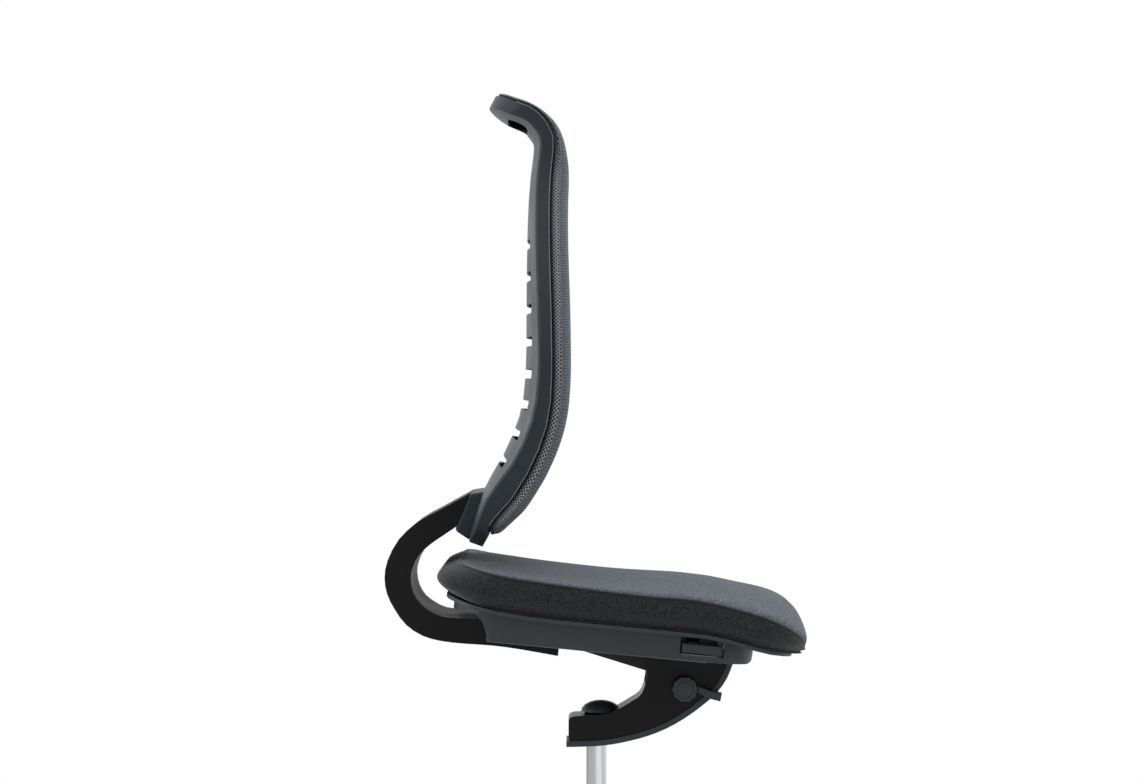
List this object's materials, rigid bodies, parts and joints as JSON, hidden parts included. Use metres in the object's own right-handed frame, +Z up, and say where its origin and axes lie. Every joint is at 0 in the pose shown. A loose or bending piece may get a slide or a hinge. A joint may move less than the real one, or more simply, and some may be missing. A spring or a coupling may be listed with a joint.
{
  "type": "office chair",
  "caption": "Swivel office chair with a slotted, padded back on a C-shaped bracket, a sliding seat, a sprung tilt arm, a gas column and a star base on twin-wheel castors.",
  "frame": {"origin": "on the floor, on the axis of the gas column", "axes": "+X to the front of the seat, +Y to the sitter's left, +Z up along the column"},
  "size_m": [0.5964, 0.5998, 1.1106],
  "materials": {
    "star_base": "moulded glass-filled nylon, fine grain",
    "castor_stem_1": "turned",
    "castor_hood_1": "moulded",
    "castor_axle_1": "turned",
    "castor_wheel_left_1": "moulded tread",
    "castor_wheel_right_1": "moulded tread",
    "castor_stem_2": "turned",
    "castor_hood_2": "moulded",
    "castor_axle_2": "turned",
    "castor_wheel_left_2": "moulded tread",
    "castor_wheel_right_2": "moulded tread",
    "castor_stem_3": "turned",
    "castor_hood_3": "moulded",
    "castor_axle_3": "turned",
    "castor_wheel_left_3": "moulded tread",
    "castor_wheel_right_3": "moulded tread",
    "castor_stem_4": "turned",
    "castor_hood_4": "moulded",
    "castor_axle_4": "turned",
    "castor_wheel_left_4": "moulded tread",
    "castor_wheel_right_4": "moulded tread",
    "castor_stem_5": "turned",
    "castor_hood_5": "moulded",
    "castor_axle_5": "turned",
    "castor_wheel_left_5": "moulded tread",
    "castor_wheel_right_5": "moulded tread",
    "column_tube": "satin steel",
    "thrust_bearing": "satin steel",
    "rod_clip": "satin steel",
    "piston_rod": "satin steel",
    "release_pin": "satin steel",
    "tension_spindle": "satin steel",
    "lever_crank": "satin steel",
    "release_rod": "satin steel",
    "release_rocker": "satin steel",
    "rocker_pin": "satin steel",
    "tilt_axle": "satin steel",
    "torsion_spring_left": "satin steel",
    "torsion_spring_right": "satin steel",
    "depth_latch": "satin steel",
    "pressure_tube": "chrome plate",
    "guide_bush": "moulded",
    "arm_casting": "die-cast, black lacquer",
    "back_bracket": "die-cast, black lacquer",
    "seat_carrier": "pressed plate, black lacquer",
    "arm_cover": "moulded, fine grain",
    "column_cap": "moulded, fine grain",
    "tension_knob": "moulded, fine grain",
    "lift_lever": "moulded, fine grain",
    "seat_pan": "moulded, fine grain",
    "depth_handle": "moulded, fine grain",
    "back_shell": "moulded, fine grain",
    "slide_rail_left": "moulded",
    "slide_rail_right": "moulded",
    "spring_housing": "moulded",
    "tension_nut": "turned",
    "axle_bush_left": "turned",
    "axle_bush_right": "turned",
    "seat_cushion": "woven upholstery over foam",
    "back_cushion": "woven upholstery over foam"
  },
  "bodies": {
    "base": {"star_base": "star_base", "column_tube": "column_tube", "guide_bush": "guide_bush"},
    "castor_1": {"castor_stem_1": "castor_stem_1", "castor_hood_1": "castor_hood_1", "castor_axle_1": "castor_axle_1"},
    "wheel_left_1": {"castor_wheel_left_1": "castor_wheel_left_1"},
    "wheel_right_1": {"castor_wheel_right_1": "castor_wheel_right_1"},
    "castor_2": {"castor_stem_2": "castor_stem_2", "castor_hood_2": "castor_hood_2", "castor_axle_2": "castor_axle_2"},
    "wheel_left_2": {"castor_wheel_left_2": "castor_wheel_left_2"},
    "wheel_right_2": {"castor_wheel_right_2": "castor_wheel_right_2"},
    "castor_3": {"castor_stem_3": "castor_stem_3", "castor_hood_3": "castor_hood_3", "castor_axle_3": "castor_axle_3"},
    "wheel_left_3": {"castor_wheel_left_3": "castor_wheel_left_3"},
    "wheel_right_3": {"castor_wheel_right_3": "castor_wheel_right_3"},
    "castor_4": {"castor_stem_4": "castor_stem_4", "castor_hood_4": "castor_hood_4", "castor_axle_4": "castor_axle_4"},
    "wheel_left_4": {"castor_wheel_left_4": "castor_wheel_left_4"},
    "wheel_right_4": {"castor_wheel_right_4": "castor_wheel_right_4"},
    "castor_5": {"castor_stem_5": "castor_stem_5", "castor_hood_5": "castor_hood_5", "castor_axle_5": "castor_axle_5"},
    "wheel_left_5": {"castor_wheel_left_5": "castor_wheel_left_5"},
    "wheel_right_5": {"castor_wheel_right_5": "castor_wheel_right_5"},
    "column_core": {"thrust_bearing": "thrust_bearing", "piston_rod": "piston_rod", "rod_clip": "rod_clip"},
    "arm": {"pressure_tube": "pressure_tube", "arm_casting": "arm_casting", "arm_cover": "arm_cover", "column_cap": "column_cap", "rocker_pin": "rocker_pin", "tilt_axle": "tilt_axle", "axle_bush_left": "axle_bush_left", "axle_bush_right": "axle_bush_right", "tension_nut": "tension_nut"},
    "lever": {"lift_lever": "lift_lever", "lever_crank": "lever_crank"},
    "pull_rod": {"release_rod": "release_rod"},
    "rocker": {"release_rocker": "release_rocker"},
    "valve_pin": {"release_pin": "release_pin"},
    "tension": {"tension_knob": "tension_knob", "tension_spindle": "tension_spindle"},
    "seat_back": {"seat_carrier": "seat_carrier", "slide_rail_left": "slide_rail_left", "slide_rail_right": "slide_rail_right", "spring_housing": "spring_housing", "back_bracket": "back_bracket", "back_shell": "back_shell", "back_cushion": "back_cushion", "torsion_spring_left": "torsion_spring_left", "torsion_spring_right": "torsion_spring_right"},
    "seat": {"seat_pan": "seat_pan", "seat_cushion": "seat_cushion"},
    "depth_catch": {"depth_handle": "depth_handle", "depth_latch": "depth_latch"}
  },
  "joints": [
    {"name": "castor_swivel_1", "type": "hinge", "parent": "base", "child": "castor_1", "pos_m": [0.29, 0, 0.07], "axis": [0, 0, 1], "continuous": true},
    {"name": "castor_spin_left_1", "type": "hinge", "parent": "castor_1", "child": "wheel_left_1", "pos_m": [0.268, 0, 0.03], "axis": [0, 1, 0], "continuous": true},
    {"name": "castor_spin_right_1", "type": "hinge", "parent": "castor_1", "child": "wheel_right_1", "pos_m": [0.268, 0, 0.03], "axis": [0, 1, 0], "continuous": true},
    {"name": "castor_swivel_2", "type": "hinge", "parent": "base", "child": "castor_2", "pos_m": [0.08962, 0.27581, 0.07], "axis": [0, 0, 1], "continuous": true},
    {"name": "castor_spin_left_2", "type": "hinge", "parent": "castor_2", "child": "wheel_left_2", "pos_m": [0.06761, 0.27581, 0.03], "axis": [0, 1, 0], "continuous": true},
    {"name": "castor_spin_right_2", "type": "hinge", "parent": "castor_2", "child": "wheel_right_2", "pos_m": [0.06761, 0.27581, 0.03], "axis": [0, 1, 0], "continuous": true},
    {"name": "castor_swivel_3", "type": "hinge", "parent": "base", "child": "castor_3", "pos_m": [-0.23461, 0.17046, 0.07], "axis": [0, 0, 1], "continuous": true},
    {"name": "castor_spin_left_3", "type": "hinge", "parent": "castor_3", "child": "wheel_left_3", "pos_m": [-0.25661, 0.17046, 0.03], "axis": [0, 1, 0], "continuous": true},
    {"name": "castor_spin_right_3", "type": "hinge", "parent": "castor_3", "child": "wheel_right_3", "pos_m": [-0.25661, 0.17046, 0.03], "axis": [0, 1, 0], "continuous": true},
    {"name": "castor_swivel_4", "type": "hinge", "parent": "base", "child": "castor_4", "pos_m": [-0.23461, -0.17046, 0.07], "axis": [0, 0, 1], "continuous": true},
    {"name": "castor_spin_left_4", "type": "hinge", "parent": "castor_4", "child": "wheel_left_4", "pos_m": [-0.25661, -0.17046, 0.03], "axis": [0, 1, 0], "continuous": true},
    {"name": "castor_spin_right_4", "type": "hinge", "parent": "castor_4", "child": "wheel_right_4", "pos_m": [-0.25661, -0.17046, 0.03], "axis": [0, 1, 0], "continuous": true},
    {"name": "castor_swivel_5", "type": "hinge", "parent": "base", "child": "castor_5", "pos_m": [0.08962, -0.27581, 0.07], "axis": [0, 0, 1], "continuous": true},
    {"name": "castor_spin_left_5", "type": "hinge", "parent": "castor_5", "child": "wheel_left_5", "pos_m": [0.06761, -0.27581, 0.03], "axis": [0, 1, 0], "continuous": true},
    {"name": "castor_spin_right_5", "type": "hinge", "parent": "castor_5", "child": "wheel_right_5", "pos_m": [0.06761, -0.27581, 0.03], "axis": [0, 1, 0], "continuous": true},
    {"name": "column_swivel", "type": "hinge", "parent": "base", "child": "column_core", "pos_m": [0, 0, 0.0256], "axis": [0, 0, 1], "continuous": true},
    {"name": "seat_lift", "type": "slide", "parent": "column_core", "child": "arm", "axis": [0, 0, 1], "range_m": [-0.055, 0.025]},
    {"name": "lift_lever_turn", "type": "hinge", "parent": "arm", "child": "lever", "pos_m": [0.119, 0, 0.306], "axis": [0, -1, 0], "range_deg": [0, 8], "stiffness_Nm_per_rad": 0.6, "springref_deg": -11.46},
    {"name": "release_pull", "type": "slide", "parent": "arm", "child": "pull_rod", "axis": [1, 0, 0], "range_m": [0, 0.0025]},
    {"name": "rocker_turn", "type": "hinge", "parent": "arm", "child": "rocker", "pos_m": [0.018, 0, 0.2613], "axis": [0, -1, 0], "range_deg": [0, 12]},
    {"name": "release_press", "type": "slide", "parent": "arm", "child": "valve_pin", "axis": [0, 0, -1], "range_m": [0, 0.0045]},
    {"name": "tension_turn", "type": "hinge", "parent": "arm", "child": "tension", "pos_m": [0.119, 0, 0.306], "axis": [0, 1, 0], "range_deg": [-360, 360]},
    {"name": "seat_tilt", "type": "hinge", "parent": "arm", "child": "seat_back", "pos_m": [0.125, 0, 0.371], "axis": [0, -1, 0], "range_deg": [0, 7], "stiffness_Nm_per_rad": 120, "springref_deg": -28.65, "deforming": ["torsion_spring_left", "torsion_spring_right"]},
    {"name": "seat_depth", "type": "slide", "parent": "seat_back", "child": "seat", "axis": [0.9954, 0, -0.0958], "range_m": [0, 0.05]},
    {"name": "depth_release", "type": "slide", "parent": "seat", "child": "depth_catch", "axis": [0.0958, 0, 0.9954], "range_m": [0, 0.004], "stiffness_N_per_m": 400, "springref_m": -0.004}
  ],
  "couplings": [
    {"joint": "release_pull", "follows": "lift_lever_turn", "m_per_rad": 0.014},
    {"joint": "rocker_turn", "follows": "lift_lever_turn", "ratio": 1.4},
    {"joint": "release_press", "follows": "lift_lever_turn", "m_per_rad": 0.028648}
  ]
}
